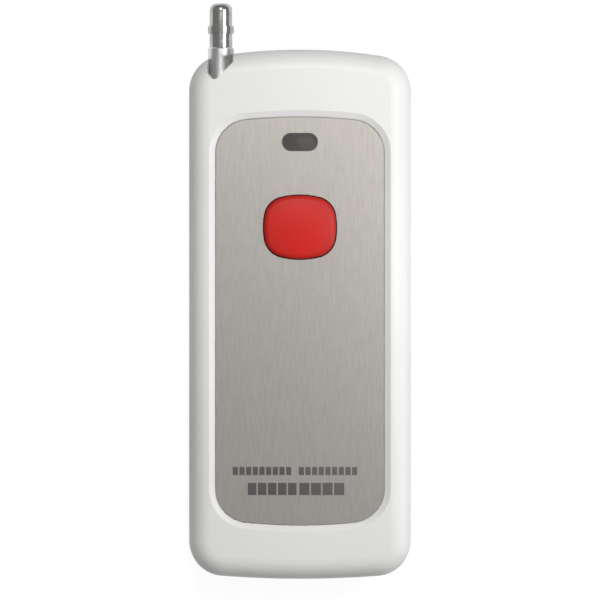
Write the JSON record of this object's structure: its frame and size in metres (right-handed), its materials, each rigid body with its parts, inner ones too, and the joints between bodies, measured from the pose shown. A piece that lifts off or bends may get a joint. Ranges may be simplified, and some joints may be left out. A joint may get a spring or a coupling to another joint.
{
  "type": "single-button remote control",
  "caption": "Slim handheld radio remote with rounded white case, grey recessed panel, red push button, dark indicator window and telescopic antenna at the corner.",
  "frame": {"origin": "middle of the flat back, half-way along and across the case, on the surface that it rests on", "axes": "+Z out of the front face with the button; +Y along the case towards the antenna; +X to the right as one looks at the front with the antenna end up"},
  "size_m": [0.05, 0.1294, 0.0217],
  "materials": {
    "white_shell": "satin",
    "silver_panel": "satin",
    "dark_lens": "polished",
    "red_plastic": "satin",
    "case_steel": "satin",
    "board_steel": "satin",
    "green_board": "satin",
    "switch_black": "matte",
    "switch_steel": "satin",
    "plunger_black": "matte",
    "lamp_lens": "polished",
    "chip_black": "matte",
    "can_metal": "polished",
    "can_sleeve": "satin",
    "trimmer_plastic": "matte",
    "transistor_black": "matte",
    "resistor_black": "matte",
    "ceramic_tan": "matte",
    "coil_wire": "satin",
    "battery_case": "satin",
    "contact_metal": "satin",
    "spring_metal": "satin",
    "antenna_chrome": "polished",
    "tip_chrome": "polished",
    "bush_metal": "satin",
    "foot_brass": "satin",
    "spacer_plastic": "matte",
    "nut_steel": "satin"
  },
  "bodies": {
    "case": {"front_cover": "white_shell", "rear_cover": "white_shell", "front_panel": "silver_panel", "led_window": "dark_lens", "case_screws": "case_steel", "board_screws": "board_steel", "circuit_board": "green_board", "switch_body": "switch_black", "switch_cover": "switch_steel", "status_lamp": "lamp_lens", "encoder_chip": "chip_black", "saw_resonator": "can_metal", "electrolytic_capacitor": "can_sleeve", "trimmer_capacitor": "trimmer_plastic", "output_transistor": "transistor_black", "chip_resistors": "resistor_black", "chip_capacitors": "ceramic_tan", "tank_coil": "coil_wire", "battery": "battery_case", "positive_contact": "contact_metal", "negative_contact": "contact_metal", "negative_spring": "spring_metal", "antenna_tube": "antenna_chrome", "antenna_bush": "bush_metal", "antenna_foot": "foot_brass", "antenna_spacer": "spacer_plastic", "antenna_screw": "board_steel", "antenna_nut": "nut_steel"},
    "button": {"button_cap": "red_plastic"},
    "plunger": {"switch_plunger": "plunger_black"},
    "door": {"battery_door": "white_shell"},
    "section_1": {"antenna_section_1": "antenna_chrome"},
    "section_2": {"antenna_section_2": "antenna_chrome"},
    "section_3": {"antenna_section_3": "antenna_chrome"},
    "rod": {"antenna_rod": "antenna_chrome", "antenna_tip": "tip_chrome"}
  },
  "joints": [
    {"name": "button_press", "type": "slide", "parent": "case", "child": "button", "axis": [0, 0, -1], "range_m": [0, 0.0006], "stiffness_N_per_m": 2000, "springref_m": -0.0004},
    {"name": "plunger_press", "type": "slide", "parent": "case", "child": "plunger", "axis": [0, 0, -1], "range_m": [0, 0.0006]},
    {"name": "door_slide", "type": "slide", "parent": "case", "child": "door", "axis": [0, -1, 0], "range_m": [0, 0.0485]},
    {"name": "section_1_pull", "type": "slide", "parent": "case", "child": "section_1", "axis": [0, 1, 0], "range_m": [0, 0.0605]},
    {"name": "section_2_pull", "type": "slide", "parent": "section_1", "child": "section_2", "axis": [0, 1, 0], "range_m": [0, 0.0605]},
    {"name": "section_3_pull", "type": "slide", "parent": "section_2", "child": "section_3", "axis": [0, 1, 0], "range_m": [0, 0.0605]},
    {"name": "rod_pull", "type": "slide", "parent": "section_3", "child": "rod", "axis": [0, 1, 0], "range_m": [0, 0.0605]}
  ],
  "couplings": [
    {"joint": "plunger_press", "follows": "button_press", "ratio": 1}
  ]
}
